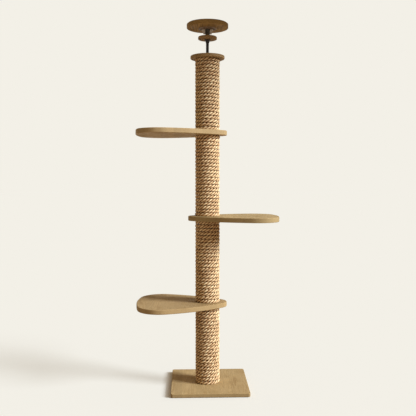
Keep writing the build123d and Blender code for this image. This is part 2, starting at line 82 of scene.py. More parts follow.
class Graph:
    """Adds nodes to one shader tree and wires them together."""

    def __init__(self, tree: bpy.types.NodeTree) -> None:
        """Takes the tree that the nodes go into."""
        self.tree = tree

    def add(self, kind: str, **settings: object) -> bpy.types.Node:
        """Adds a node of a kind such as TexNoise, with its settings.

        Args:
            kind: The node's type name without ShaderNode.
            **settings: Properties of the node, by name.

        Returns:
            The new node.
        """
        node = self.tree.nodes.new("ShaderNode" + kind)
        for name, value in settings.items():
            setattr(node, name, value)
        return node

    def feed(self, target: Socket, source: Feed) -> None:
        """Links a socket into an input, or writes a constant on it.

        Args:
            target: The input socket.
            source: An output socket, a number, or a vector or colour of numbers.
        """
        if isinstance(source, bpy.types.NodeSocket):
            self.tree.links.new(source, target)
        elif isinstance(source, tuple) and target.type == "RGBA":
            target.default_value = (*source[:3], 1.0)
        else:
            target.default_value = source

    def math(self, operation: str, *feeds: Feed, clamp: bool = False) -> Socket:
        """Does sums on numbers.

        Args:
            operation: A Math node's operation.
            *feeds: One to three numbers or sockets.
            clamp: Whether the result stays from 0 to 1.

        Returns:
            The result's socket.
        """
        node = self.add("Math", operation=operation, use_clamp=clamp)
        for target, source in zip(node.inputs, feeds):
            self.feed(target, source)
        return node.outputs[0]

    def plus(self, first: Feed, second: Feed) -> Socket:
        """Adds two values."""
        return self.math("ADD", first, second)

    def minus(self, first: Feed, second: Feed) -> Socket:
        """Takes the second value from the first."""
        return self.math("SUBTRACT", first, second)

    def times(self, first: Feed, second: Feed) -> Socket:
        """Multiplies two values."""
        return self.math("MULTIPLY", first, second)

    def times_plus(self, value: Feed, factor: Feed, start: Feed, clamp: bool = False) -> Socket:
        """Multiplies a value by a factor and adds the product to a start."""
        return self.math("MULTIPLY_ADD", value, factor, start, clamp=clamp)

    def reach(self, first: Feed, second: Feed) -> Socket:
        """Gives the length of the long side over two short sides at right angles."""
        squares = self.plus(self.math("POWER", first, 2.0), self.math("POWER", second, 2.0))
        return self.math("SQRT", squares)

    def vector(self, operation: str, first: Feed, second: Feed) -> Socket:
        """Does sums on vectors.

        Args:
            operation: A Vector Math node's operation.
            first: The first vector.
            second: The second vector.

        Returns:
            The result's socket.
        """
        node = self.add("VectorMath", operation=operation)
        self.feed(node.inputs[0], first)
        self.feed(node.inputs[1], second)
        return node.outputs[0]

    def split(self, vector: Feed) -> list[Socket]:
        """Gives the X, Y and Z sockets of a vector."""
        node = self.add("SeparateXYZ")
        self.feed(node.inputs[0], vector)
        return list(node.outputs)

    def join(self, x: Feed, y: Feed, z: Feed) -> Socket:
        """Makes a vector of three numbers."""
        node = self.add("CombineXYZ")
        for target, source in zip(node.inputs, (x, y, z)):
            self.feed(target, source)
        return node.outputs[0]

    def ramp(self, value: Feed, low: float, high: float, to_low: float = 0.0, to_high: float = 1.0) -> Socket:
        """Moves a value smoothly from one range to another.

        Args:
            value: The value that comes in.
            low: Where the change starts.
            high: Where the change ends.
            to_low: The result up to low.
            to_high: The result from high on.

        Returns:
            The result's socket.
        """
        node = self.add("MapRange", interpolation_type="SMOOTHSTEP")
        for target, source in zip(node.inputs, (value, low, high, to_low, to_high)):
            self.feed(target, source)
        return node.outputs[0]

    def noise(self, vector: Feed, scale: tuple, detail: float = 2.0, distortion: float = 0.0) -> Socket:
        """Adds noise that is stretched along the axes.

        Args:
            vector: The place, in metres.
            scale: How many times the noise changes in a metre along X, Y and Z.
            detail: How many finer layers it has.
            distortion: How much it is twisted.

        Returns:
            A socket with values round 0.5.
        """
        node = self.add("TexNoise")
        self.feed(node.inputs["Vector"], self.vector("MULTIPLY", vector, scale))
        self.feed(node.inputs["Scale"], 1.0)
        self.feed(node.inputs["Detail"], detail)
        self.feed(node.inputs["Distortion"], distortion)
        return node.outputs[0]

    def mix(self, factor: Feed, first: Feed, second: Feed, mode: str = "MIX") -> Socket:
        """Mixes two colours.

        Args:
            factor: 0 for the first colour, 1 for the second.
            first: The first colour.
            second: The second colour.
            mode: A Mix node's blend type.

        Returns:
            The mixed colour's socket.
        """
        node = self.add("Mix", data_type="RGBA", blend_type=mode)
        self.feed(node.inputs["Factor"], factor)
        self.feed(node.inputs[6], first)
        self.feed(node.inputs[7], second)
        return node.outputs[2]

    def shade(self, mask: Feed, colour: Feed, by: Feed) -> Socket:
        """Multiplies a colour by another where a mask is high."""
        return self.mix(mask, colour, by, "MULTIPLY")

    def dim(self, colour: Feed, value: Feed) -> Socket:
        """Multiplies all channels of a colour by one value."""
        return self.shade(1.0, colour, self.join(value, value, value))

    def place(self) -> Socket:
        """Gives the place on the object in its own frame, which moves with it."""
        return self.add("TexCoord").outputs["Object"]

    def use(self, group: bpy.types.NodeTree, **feeds: Feed) -> bpy.types.Node:
        """Places a node group.

        Args:
            group: The group's tree.
            **feeds: Its inputs by name, with _ for a space.

        Returns:
            The group's node.
        """
        node = self.add("Group", node_tree=group)
        for name, source in feeds.items():
            self.feed(node.inputs[name.replace("_", " ")], source)
        return node


def new_group(name: str, inputs: dict[str, str], outputs: tuple[str, ...]) -> tuple[Graph, dict, dict]:
    """Starts a shader node group.

    Args:
        name: The group's name.
        inputs: Kind of each input by name, such as Float or Vector.
        outputs: Names of the outputs, which are all numbers.

    Returns:
        The graph to build in, the sockets that the inputs give, and those that the outputs take.
    """
    tree = bpy.data.node_groups.new(name, "ShaderNodeTree")
    for names, way in ((inputs, "INPUT"), (dict.fromkeys(outputs, "Float"), "OUTPUT")):
        for socket_name, kind in names.items():
            tree.interface.new_socket(name=socket_name, in_out=way, socket_type="NodeSocket" + kind)
    graph = Graph(tree)
    given = tree.nodes.new("NodeGroupInput")
    taken = tree.nodes.new("NodeGroupOutput")
    return graph, {s.name: s for s in given.outputs}, {s.name: s for s in taken.inputs}


class Effects:
    """The effects that several finishes share, each one node group that is built once."""

    PITH_SPREAD = 2.6
    PITH_DEPTH = 12.0 * MM
    PITH_DEPTH_SPREAD = 70.0 * MM
    STAVE_LEAN = 0.16
    RING_WAVE = 22.0 * MM
    RING_RIPPLE = 1.6 * MM
    JOINT_WIDTH = 0.5 * MM
    YARN_WOBBLE = 1.6 * MM
    GROOVE_EDGE = (2.8 * MM, 6.2 * MM)

    def __init__(self) -> None:
        """Builds all groups."""
        self.stave_grain = self._stave_grain()
        self.edge_wear = self._edge_wear()
        self.handling_soil = self._handling_soil()
        self.strand_fibre = self._strand_fibre()
        self.lathe_marks = self._lathe_marks()

    @classmethod
    def _stave_grain(cls) -> bpy.types.NodeTree:
        """Builds the grain of boards glued from staves that run along Y.

        Returns:
            The group. Each stave is cut from its own place in a trunk, so its rings lie on a top
            face as stripes or arches and on an end as arcs.
        """
        inputs = {"Place": "Vector", "Stave Width": "Float", "Ring Spacing": "Float", "Seed": "Float"}
        outputs = ("Rings", "Fibre", "Pores", "Stave Tone", "Joint")
        graph, given, taken = new_group("stave_grain", inputs, outputs)
        width = given["Stave Width"]
        x, y, z = graph.split(given["Place"])
        across = graph.math("DIVIDE", x, width)
        stave = graph.math("FLOOR", across)
        within = graph.math("FRACT", across)
        chance = graph.add("TexWhiteNoise", noise_dimensions="2D")
        graph.feed(chance.inputs["Vector"], graph.join(stave, given["Seed"], 0.0))
        side, depth, tilt = graph.split(chance.outputs["Color"])

        shift = graph.times(graph.minus(side, 0.5), cls.PITH_SPREAD)
        from_pith = graph.times(graph.minus(graph.minus(within, 0.5), shift), width)
        leaning = graph.times(y, graph.minus(tilt, 0.5))
        sideways = graph.plus(from_pith, graph.times(leaning, cls.STAVE_LEAN))
        below = graph.times_plus(depth, cls.PITH_DEPTH_SPREAD, cls.PITH_DEPTH)
        upright = graph.plus(z, below)
        radius = graph.reach(sideways, upright)
        wave = graph.noise(given["Place"], (7.0, 1.6, 7.0), 2.0)
        ripple = graph.noise(given["Place"], (60.0, 6.0, 60.0), 2.0)
        warped = graph.plus(radius, graph.times(wave, cls.RING_WAVE))
        warped = graph.plus(warped, graph.times(ripple, cls.RING_RIPPLE))
        ring = graph.math("FRACT", graph.math("DIVIDE", warped, given["Ring Spacing"]))
        late = graph.math("POWER", ring, 2.0)
        early = graph.ramp(ring, 0.90, 1.0, 1.0, 0.0)
        graph.feed(taken["Rings"], graph.times(late, early))

        graph.feed(taken["Fibre"], graph.noise(given["Place"], (900.0, 16.0, 900.0), 3.0))
        pore = graph.ramp(graph.noise(given["Place"], (1500.0, 60.0, 1500.0), 1.0), 0.58, 0.66)
        graph.feed(taken["Pores"], graph.times(pore, graph.ramp(ring, 0.0, 0.6, 1.0, 0.25)))
        tone = graph.add("TexWhiteNoise", noise_dimensions="2D")
        graph.feed(tone.inputs["Vector"], graph.join(graph.plus(stave, 31.0), given["Seed"], 0.0))
        graph.feed(taken["Stave Tone"], tone.outputs["Value"])
        off_centre = graph.math("ABSOLUTE", graph.minus(within, 0.5))
        edge = graph.times(graph.minus(0.5, off_centre), width)
        graph.feed(taken["Joint"], graph.ramp(edge, 0.0, cls.JOINT_WIDTH, 1.0, 0.0))
        return graph.tree

    @staticmethod
    def _edge_wear() -> bpy.types.NodeTree:
        """Builds a mask that is high on outer edges and uneven along them."""
        graph, given, taken = new_group("edge_wear", {"Place": "Vector", "Radius": "Float"}, ("Mask",))
        bevel = graph.add("Bevel", samples=6)
        graph.feed(bevel.inputs["Radius"], given["Radius"])
        plain = graph.add("NewGeometry").outputs["Normal"]
        turned = graph.add("VectorMath", operation="DOT_PRODUCT")
        graph.feed(turned.inputs[0], bevel.outputs[0])
        graph.feed(turned.inputs[1], plain)
        edge = graph.ramp(turned.outputs["Value"], 0.99, 0.80, 0.0, 1.0)
        uneven = graph.ramp(graph.noise(given["Place"], (45.0, 45.0, 45.0), 3.0), 0.35, 0.68)
        graph.feed(taken["Mask"], graph.times(edge, uneven))
        return graph.tree

    @staticmethod
    def _handling_soil() -> bpy.types.NodeTree:
        """Builds soft patches of soil and fine dust specks."""
        inputs = {"Place": "Vector", "Patches": "Float"}
        graph, given, taken = new_group("handling_soil", inputs, ("Mask", "Specks"))
        patches = graph.join(given["Patches"], given["Patches"], given["Patches"])
        scaled = graph.vector("MULTIPLY", given["Place"], patches)
        graph.feed(taken["Mask"], graph.ramp(graph.noise(scaled, (1.0, 1.0, 1.0), 4.0), 0.42, 0.72))
        specks = graph.noise(given["Place"], (420.0, 420.0, 420.0), 2.0)
        graph.feed(taken["Specks"], graph.ramp(specks, 0.62, 0.75))
        return graph.tree

    @classmethod
    def _strand_fibre(cls) -> bpy.types.NodeTree:
        """Builds the yarns and fibres on a rope's strands.

        Returns:
            The group. It reads the rope's own map: X runs along the rope and Y across a strand,
            where each strand has its own band.
        """
        inputs = {"Lay": "Vector", "Strand Band": "Float", "Yarn Width": "Float", "Slant": "Float"}
        outputs = ("Yarn", "Fibre", "Tone", "Groove")
        graph, given, taken = new_group("strand_fibre", inputs, outputs)
        along, band, _ = graph.split(given["Lay"])
        bands = graph.math("DIVIDE", band, given["Strand Band"])
        across = graph.times(graph.minus(graph.math("FRACT", bands), 0.5), given["Strand Band"])
        slanted = graph.plus(across, graph.times(along, given["Slant"]))
        wobble = graph.noise(given["Lay"], (40.0, 40.0, 1.0), 2.0)
        bent = graph.plus(slanted, graph.times(wobble, cls.YARN_WOBBLE))
        turn = graph.times(graph.math("DIVIDE", bent, given["Yarn Width"]), math.pi)
        graph.feed(taken["Yarn"], graph.math("ABSOLUTE", graph.math("SINE", turn)))
        graph.feed(taken["Fibre"], graph.noise(graph.join(along, bent, band), (90.0, 2600.0, 300.0), 3.0))
        tone_place = graph.join(along, graph.times(graph.math("FLOOR", bands), 0.37), 0.0)
        graph.feed(taken["Tone"], graph.noise(tone_place, (26.0, 10.0, 1.0), 3.0))
        # Groove is high beside the grooves between strands, where the rope finish paints shade.
        graph.feed(taken["Groove"], graph.ramp(graph.math("ABSOLUTE", across), *cls.GROOVE_EDGE))
        return graph.tree

    @staticmethod
    def _lathe_marks() -> bpy.types.NodeTree:
        """Builds the fine rings that turning leaves round the Z axis, and small scratches."""
        inputs = {"Place": "Vector", "Marks": "Float"}
        graph, given, taken = new_group("lathe_marks", inputs, ("Height", "Tone"))
        x, y, z = graph.split(given["Place"])
        radius = graph.reach(x, y)
        rings = graph.join(graph.times(radius, given["Marks"]), graph.times(z, given["Marks"]), 0.0)
        graph.feed(taken["Height"], graph.noise(rings, (1.0, 1.0, 1.0), 3.0))
        graph.feed(taken["Tone"], graph.noise(given["Place"], (160.0, 160.0, 160.0), 4.0, 0.6))
        return graph.tree


class Shader:
    """One material: its Principled shader and the graph that feeds it."""

    def __init__(self, name: str) -> None:
        """Makes the material under its name."""
        self.material = bpy.data.materials.new(name)
        self.material.use_nodes = True
        self.graph = Graph(self.material.node_tree)
        self.shader = self.material.node_tree.nodes["Principled BSDF"]

    def set(self, **values: Feed) -> None:
        """Sets inputs of the shader by name, with _ for a space."""
        for name, value in values.items():
            self.graph.feed(self.shader.inputs[name.replace("_", " ")], value)

    def bump(self, height: Feed, distance: float, strength: float = 1.0) -> None:
        """Roughens the surface.

        Args:
            height: The relief, from 0 to 1.
            distance: How high 1 stands, in metres.
            strength: How much of it shows.
        """
        node = self.graph.add("Bump")
        self.graph.feed(node.inputs["Strength"], strength)
        self.graph.feed(node.inputs["Distance"], distance)
        self.graph.feed(node.inputs["Height"], height)
        self.graph.feed(self.shader.inputs["Normal"], node.outputs[0])


@dataclass(frozen=True)
class WoodFinish:
    """Oiled wood that is glued up from staves along Y."""

    name: str
    pale: Colour
    deep: Colour
    centre: tuple = (0.0, 0.0, 0.0)
    stave_width: float = 0.045
    ring_spacing: float = 0.0034
    figure: float = 0.52
    seed: float = 0.0
    board_tone: Colour = (1.0, 1.0, 1.0)
    roughness: float = 0.66
    painted_side_shade: float = 0.82
    fibre_share: float = 0.8
    least_stave_tone: float = 0.915
    stave_tone_spread: float = 0.13
    pore_shade: float = 0.45
    joint_shade: float = 0.45
    soil_shade: float = 0.16
    wear_and_highlight: float = 0.35

    def make(self, effects: Effects) -> bpy.types.Material:
        """Makes the material.

        Args:
            effects: The shared effects.

        Returns:
            The material.
        """
        wood = Shader(self.name)
        graph = wood.graph
        local = graph.vector("SUBTRACT", graph.place(), self.centre)
        staves = {"Stave_Width": self.stave_width, "Ring_Spacing": self.ring_spacing, "Seed": self.seed}
        grain = graph.use(effects.stave_grain, Place=local, **staves).outputs
        soil = graph.use(effects.handling_soil, Place=local, Patches=9.0).outputs
        wear = graph.use(effects.edge_wear, Place=local, Radius=0.003).outputs["Mask"]

        fibre = graph.times(graph.ramp(grain["Fibre"], 0.3, 0.7), self.fibre_share * self.figure)
        figure = graph.times_plus(grain["Rings"], self.figure, fibre, clamp=True)
        colour = graph.mix(figure, self.pale, self.deep)
        tone = graph.times_plus(grain["Stave Tone"], self.stave_tone_spread, self.least_stave_tone)
        colour = graph.dim(colour, tone)
        # Each board's colour is multiplied by its listed tone.
        colour = graph.shade(1.0, colour, self.board_tone)
        colour = graph.shade(graph.times(grain["Pores"], self.pore_shade), colour, self.deep)
        colour = graph.shade(graph.times(grain["Joint"], self.joint_shade), colour, self.deep)
        colour = graph.shade(graph.times(soil["Mask"], self.soil_shade), colour, self.deep)
        # Outer edges lighten towards the pale colour: wear, and a painted highlight along the rounded edges.
        colour = graph.mix(graph.times(wear, self.wear_and_highlight), colour, self.pale)
        # Painted shade: faces that stand upright are dimmed, so a board's sides render darker than its top
        # and bottom.
        upright = graph.split(graph.add("NewGeometry").outputs["Normal"])[2]
        painted_side_dim = graph.ramp(graph.math("ABSOLUTE", upright), 0.2, 0.8, self.painted_side_shade, 1.0)
        colour = graph.dim(colour, painted_side_dim)
        gloss = graph.times_plus(grain["Rings"], -0.08, self.roughness)
        gloss = graph.times_plus(soil["Mask"], 0.12, gloss)
        gloss = graph.times_plus(wear, -0.10, gloss)
        wood.set(Base_Color=colour, Roughness=gloss, Specular_IOR_Level=0.08)
        relief = graph.times_plus(grain["Pores"], -0.6, graph.times(grain["Fibre"], 0.5))
        wood.bump(graph.times_plus(grain["Joint"], -0.5, relief), 0.00025, 0.6)
        return wood.material


@dataclass(frozen=True)
class RopeFinish:
    """Sisal in twisted strands, as the map of a rope winding lays it."""

    name: str
    pale: Colour
    deep: Colour
    strand_band: float
    # The warm dark colour of the painted shade in the rope's grooves and between its turns.
    painted_crease_shade: Colour = tint(142, 88, 24)
    yarn_width: float = 0.0026
    slant: float = 0.32
    fibre_share: float = 0.45
    tone_share: float = 0.50
    yarn_share: float = 0.25
    groove_shade: float = 0.84
    soil_shade: float = 0.18
    gap_edge: tuple[float, float] = (0.62, 0.98)
    least_gap_shade: float = 0.35

    def make(self, effects: Effects) -> bpy.types.Material:
        """Makes the material.

        Args:
            effects: The shared effects.

        Returns:
            The material.
        """
        rope = Shader(self.name)
        graph = rope.graph
        lay = graph.add("UVMap", uv_map=RopeWinding.LAY_MAP).outputs[0]
        strands = {"Strand_Band": self.strand_band, "Yarn_Width": self.yarn_width, "Slant": self.slant}
        strand = graph.use(effects.strand_fibre, Lay=lay, **strands).outputs
        soil = graph.use(effects.handling_soil, Place=graph.place(), Patches=14.0).outputs
        fibre = graph.ramp(strand["Fibre"], 0.30, 0.70)
        tone = graph.ramp(strand["Tone"], 0.30, 0.70)
        light = graph.times_plus(fibre, self.fibre_share, graph.times(tone, self.tone_share))
        light = graph.times_plus(strand["Yarn"], self.yarn_share, light, clamp=True)
        colour = graph.mix(light, self.deep, self.pale)
        # Painted shade: beside the grooves between strands the colour darkens towards the warm crease colour.
        colour = graph.shade(graph.times(strand["Groove"], self.groove_shade), colour, self.painted_crease_shade)
        # Painted shade: where the rope faces the turns above and below it, in the gaps between turns, it
        # darkens in broken patches.
        painted_gap_shade = graph.add("Attribute", attribute_name=RopeWinding.PAINTED_GAP_SHADE_MASK).outputs["Fac"]
        between = graph.ramp(painted_gap_shade, *self.gap_edge)
        patches = graph.noise(graph.place(), (42.0, 42.0, 60.0), 2.0)
        broken = graph.ramp(patches, 0.40, 0.58, self.least_gap_shade, 1.0)
        colour = graph.shade(graph.times(between, broken), colour, self.painted_crease_shade)
        colour = graph.shade(graph.times(soil["Mask"], self.soil_shade), colour, self.deep)
        rope.set(Base_Color=colour, Roughness=graph.times_plus(fibre, -0.12, 0.92))
        rope.set(Specular_IOR_Level=0.06, Sheen_Weight=0.04, Sheen_Roughness=0.5)
        relief = graph.times_plus(strand["Yarn"], 0.6, graph.times(strand["Fibre"], 0.8))
        rope.bump(relief, 0.0006, 0.9)
        return rope.material


@dataclass(frozen=True)
class MetalFinish:
    """Turned or pressed metal, blackened, plated or bare.

    With a core radius it has a dark core round the Z axis, and pale ribs below the level rib_top.
    """

    name: str
    body: Colour
    worn: Colour
    metallic: float
    roughness: float
    marks: float = 1800.0
    wear_radius: float = 0.0008
    core: Colour = (0.060, 0.046, 0.028)
    core_radius: float = 0.0
    rib: Colour = tint(214, 204, 190)
    rib_top: float = 0.0
    rib_fade: float = 3.0 * MM

    def make(self, effects: Effects) -> bpy.types.Material:
        """Makes the material.

        Args:
            effects: The shared effects.

        Returns:
            The material.
        """
        metal = Shader(self.name)
        graph = metal.graph
        place = graph.place()
        lathe = graph.use(effects.lathe_marks, Place=place, Marks=self.marks).outputs
        soil = graph.use(effects.handling_soil, Place=place, Patches=60.0).outputs
        wear = graph.use(effects.edge_wear, Place=place, Radius=self.wear_radius).outputs["Mask"]
        shade = graph.ramp(lathe["Tone"], 0.3, 0.7, 0.8, 1.1)
        colour = graph.dim(self.body, shade)
        if self.core_radius > 0:
            x, y, z = graph.split(place)
            above = graph.ramp(z, self.rib_top - self.rib_fade, self.rib_top)
            colour = graph.mix(above, self.rib, colour)
            radius = graph.reach(x, y)
            colour = graph.mix(graph.ramp(radius, self.core_radius, self.core_radius + MM), self.core, colour)
        colour = graph.mix(graph.times(wear, 0.8), colour, self.worn)
        gloss = graph.times_plus(soil["Mask"], 0.16, self.roughness)
        gloss = graph.times_plus(wear, -0.12, gloss)
        gloss = graph.times_plus(lathe["Height"], 0.10, gloss)
        metal.set(Base_Color=colour, Metallic=self.metallic, Roughness=gloss)
        metal.bump(lathe["Height"], 0.00004, 0.5)
        return metal.material


@dataclass(frozen=True)
class RubberFinish:
    """Thin moulded rubber with a fine dimpled face."""

    name: str
    body: Colour
    dimple: float = 0.0016

    def make(self, effects: Effects) -> bpy.types.Material:
        """Makes the material.

        Args:
            effects: The shared effects.

        Returns:
            The material.
        """
        rubber = Shader(self.name)
        graph = rubber.graph
        place = graph.place()
        cells = graph.add("TexVoronoi", feature="SMOOTH_F1")
        graph.feed(cells.inputs["Vector"], place)
        graph.feed(cells.inputs["Scale"], 1.0 / self.dimple)
        soil = graph.use(effects.handling_soil, Place=place, Patches=22.0).outputs
        dust = graph.math("MAXIMUM", graph.times(soil["Mask"], 0.35), graph.times(soil["Specks"], 0.5))
        dusty = tuple(channel * 2.2 + 0.02 for channel in self.body)
        rubber.set(Base_Color=graph.mix(dust, self.body, dusty), Specular_IOR_Level=0.3)
        rubber.set(Roughness=graph.times_plus(dust, 0.12, 0.78))
        rubber.bump(cells.outputs["Distance"], 0.0003, 0.8)
        return rubber.material


@dataclass(frozen=True)
class PaperFinish:
    """Brown paper wound in a spiral into a tube."""

    name: str
    body: Colour
    seam: Colour
    strip_width: float = 0.11

    def make(self, effects: Effects) -> bpy.types.Material:
        """Makes the material.

        Args:
            effects: The shared effects.

        Returns:
            The material.
        """
        paper = Shader(self.name)
        graph = paper.graph
        place = graph.place()
        x, y, z = graph.split(place)
        round_it = graph.times(graph.math("ARCTAN2", y, x), self.strip_width / (2 * math.pi))
        strip = graph.math("FRACT", graph.math("DIVIDE", graph.plus(z, round_it), self.strip_width))
        seam = graph.ramp(graph.math("ABSOLUTE", graph.minus(strip, 0.5)), 0.004, 0.010, 1.0, 0.0)
        flecks = graph.noise(place, (700.0, 700.0, 260.0), 4.0)
        soil = graph.use(effects.handling_soil, Place=place, Patches=18.0).outputs
        colour = graph.mix(graph.ramp(flecks, 0.4, 0.7), self.body, self.seam)
        colour = graph.shade(graph.times(seam, 0.8), colour, self.seam)
        paper.set(Base_Color=colour, Specular_IOR_Level=0.2)
        paper.set(Roughness=graph.times_plus(soil["Mask"], 0.08, 0.86))
        paper.bump(graph.times_plus(seam, -1.0, flecks), 0.0002, 0.7)
        return paper.material


def put_in_scene(name: str, data: bpy.types.ID) -> bpy.types.Object:
    """Makes an object of a mesh, lamp or camera and puts it into the scene."""
    thing = bpy.data.objects.new(name, data)
    bpy.context.scene.collection.objects.link(thing)
    return thing


def new_sheet(name: str, corners: list) -> bpy.types.Object:
    """Makes an object of one face with four corners."""
    mesh = bpy.data.meshes.new(name)
    mesh.from_pydata([tuple(corner) for corner in corners], [], [(0, 1, 2, 3)])
    return put_in_scene(name, mesh)


def new_piece(
    name: str, points: np.ndarray, faces: list, body: str, material: bpy.types.Material
) -> bpy.types.Object:
    """Makes a mesh piece that rides on a body.

    Args:
        name: The piece's name.
        points: Corner places in metres, one row each.
        faces: Corner numbers of each face.
        body: The body that it rides on.
        material: Its finish.

    Returns:
        The piece.
    """
    mesh = bpy.data.meshes.new(name)
    mesh.from_pydata(points.tolist(), [], faces)
    mesh.materials.append(material)
    mesh.polygons.foreach_set("use_smooth", [True] * len(mesh.polygons))
    mesh.update()
    piece = put_in_scene(name, mesh)
    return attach(piece, body)


def dress(material: bpy.types.Material, *nodes: str) -> None:
    """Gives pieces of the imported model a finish.

    Args:
        material: The finish.
        *nodes: Names of the pieces.
    """
    for node in nodes:
        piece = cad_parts[node]
        if piece.material_slots:
            for slot in piece.material_slots:
                slot.material = material
        else:
            piece.data.materials.append(material)
        log.info("%s: %s", node, material.name)


class Lay(Enum):
    """The way a rope's strands twist, as the sign of their turn along the rope."""

    RISING_RIGHT = 1
    RISING_LEFT = -1


@dataclass
class RopeWinding:
    """One winding of three-strand rope between two boards of the post."""

    number: int
    material: bpy.types.Material
    rope_diameter: float = 21.9 * MM
    turn_gap: float = 0.85 * MM
    seat_gap: float = 0.3 * MM
    lay_length: float = 67.0 * MM
    lay: Lay = Lay.RISING_RIGHT
    strands: int = 3
    points_per_strand: int = 9
    steps_per_half_turn: int = 56
    strand_radius: float = 5.55 * MM
    squareness: float = 3.6
    tail_steps: int = 6
    sway_out: float = 0.25 * MM
    sway_up: float = 0.30 * MM
    loose_twist: float = 0.85
    loose_strand: float = 0.075
    map_rows: int = 12
    row_margin: float = 0.02
    winding_radius: float = 0.0
    levels: list[float] = field(default_factory=list)

    LAY_MAP = "lay"
    BAKE_MAP = "OFBake"
    PAINTED_GAP_SHADE_MASK = "painted_gap_shade"
    STRAND_BAND = 20.0 * MM
    BAND_FILL = 0.6
    FIRST_SEED = 40
    OUT_WAVES = (0.31, 0.173, 0.094)
    UP_WAVES = (0.27, 0.151, 0.083)
    TWIST_WAVES = (0.9, 0.41, 0.23, 0.13)
    STRAND_WAVES = (0.52, 0.19, 0.087, 0.045)

    @property
    def rope_radius(self) -> float:
        """Half the rope's diameter."""
        return self.rope_diameter / 2

    def measure(self) -> None:
        """Takes the levels of the turns and the winding's radius from the tube inside."""
        low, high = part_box(f"post_tube_{self.number}")
        self.winding_radius = high.x + self.seat_gap + self.rope_radius
        span = high.z - low.z - 2 * self.seat_gap - self.rope_diameter
        climbs = math.floor(round(span / (self.rope_diameter + self.turn_gap), 3))
        foot = low.z + self.seat_gap + self.rope_radius
        self.levels = [foot + span * turn / climbs for turn in range(climbs + 1)]

    def centre_line(self) -> np.ndarray:
        """Follows the rope: level in front of the post, climbing to the next turn behind it.

        Returns:
            Points on the rope's centre line, evenly spaced but for the two straight ends.
        """
        radius = self.winding_radius
        steps = self.steps_per_half_turn
        quarter = np.linspace(0.0, math.pi, steps, endpoint=False)
        straight = np.linspace(1.0, 0.0, self.tail_steps, endpoint=False)
        start = [(-radius, self.rope_diameter * share, self.levels[0]) for share in straight]
        line = [np.array(start)]
        for level, following in zip(self.levels, self.levels[1:] + [None]):
            front = np.stack((-radius * np.cos(quarter), -radius * np.sin(quarter), np.full(steps, level)), 1)
            line.append(front)
            if following is not None:
                rise = following - level
                crest = math.hypot(radius, rise / 2)
                middle = np.array((0.0, 0.0, level + rise / 2))
                outward = np.array((radius, 0.0, -rise / 2))
                behind = np.array((0.0, crest, 0.0))
                line.append(middle + np.outer(np.cos(quarter), outward) + np.outer(np.sin(quarter), behind))
        end = [(radius, self.rope_diameter * (1 - share), self.levels[-1]) for share in straight]
        line.append(np.array(end))
        line.append(np.array([(radius, self.rope_diameter, self.levels[-1])]))
        return np.concatenate(line)

    def section(self) -> tuple[np.ndarray, np.ndarray]:
        """Draws the rope's section, a rounded lobe for each strand.

        Returns:
            Angles round the rope and distances from its centre, for one strand.
        """
        reach = self.rope_radius - self.strand_radius
        half = math.pi / self.strands
        angles = np.linspace(-half, half, self.points_per_strand + 1)
        distances = reach * np.cos(angles) + np.sqrt(self.strand_radius**2 - (reach * np.sin(angles)) ** 2)
        return angles, distances

    @staticmethod
    def unevenness(
        along: np.ndarray, size: float, waves: tuple[float, ...], chance: random.Random
    ) -> np.ndarray:
        """Adds up slow waves of chance phase.

        Args:
            along: Places along the rope, in metres.
            size: The largest value of the sum.
            waves: Wave lengths in metres.
            chance: Where the phases come from.

        Returns:
            A value at each place.
        """
        total = np.zeros_like(along)
        for wave in waves:
            total += np.sin(along * 2 * math.pi / wave + chance.uniform(0, 2 * math.pi))
        return total * size / len(waves)

    def build(self) -> bpy.types.Object:
        """Sweeps the twisted section along the centre line.

        Returns:
            The rope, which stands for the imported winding.
        """
        self.measure()
        chance = random.Random(self.FIRST_SEED + self.number)
        line = self.centre_line()
        gaps = np.linalg.norm(np.diff(line, axis=0), axis=1)
        along = np.concatenate(([0.0], np.cumsum(gaps)))
        tangent = np.gradient(line, axis=0)
        tangent /= np.linalg.norm(tangent, axis=1)[:, None]
        up = np.array((0.0, 0.0, 1.0))
        outward = np.cross(tangent, up)
        outward /= np.linalg.norm(outward, axis=1)[:, None]
        upward = np.cross(outward, tangent)
        line = line + outward * self.unevenness(along, self.sway_out, self.OUT_WAVES, chance)[:, None]
        line = line + upward * self.unevenness(along, self.sway_up, self.UP_WAVES, chance)[:, None]

        turn = self.lay.value * 2 * math.pi * along / self.lay_length
        turn = turn + self.unevenness(along, self.loose_twist, self.TWIST_WAVES, chance)
        angles, distances = self.section()
        per_ring = self.strands * self.points_per_strand
        rings = len(line)
        press = (self.levels[1] - self.levels[0]) / self.rope_diameter
        power = self.squareness
        points = np.empty((rings, per_ring, 3))
        nearness = np.empty((rings, per_ring))
        for strand in range(self.strands):
            fullness = 1.0 + self.unevenness(along, self.loose_strand, self.STRAND_WAVES, chance)
            for k in range(self.points_per_strand):
                angle = turn + strand * 2 * math.pi / self.strands + angles[k]
                distance = np.minimum(distances[k] * fullness, self.rope_radius)
                level, height = np.cos(angle), np.sin(angle)
                flat = (np.abs(level) ** power + np.abs(height) ** power) ** (-1 / power)
                distance = (distance * flat)[:, None]
                spot = level[:, None] * outward + (height * press)[:, None] * upward
                points[:, strand * self.points_per_strand + k] = line + distance * spot
                nearness[:, strand * self.points_per_strand + k] = np.abs(height)
        low_cap, high_cap = rings * per_ring, rings * per_ring + 1
        cap_points = np.array((line[0], line[-1]))
        ring, spot = np.meshgrid(np.arange(rings - 1), np.arange(per_ring), indexing="ij")
        ring, spot = ring.ravel(), spot.ravel()
        beside = (spot + 1) % per_ring
        here, ahead = ring * per_ring, (ring + 1) * per_ring
        quads = np.stack((here + spot, here + beside, ahead + beside, ahead + spot), 1)
        last = (rings - 1) * per_ring
        caps = [(low_cap, (k + 1) % per_ring, k) for k in range(per_ring)]
        caps += [(high_cap, last + k, last + (k + 1) % per_ring) for k in range(per_ring)]
        corners = np.concatenate((points.reshape(-1, 3), cap_points))
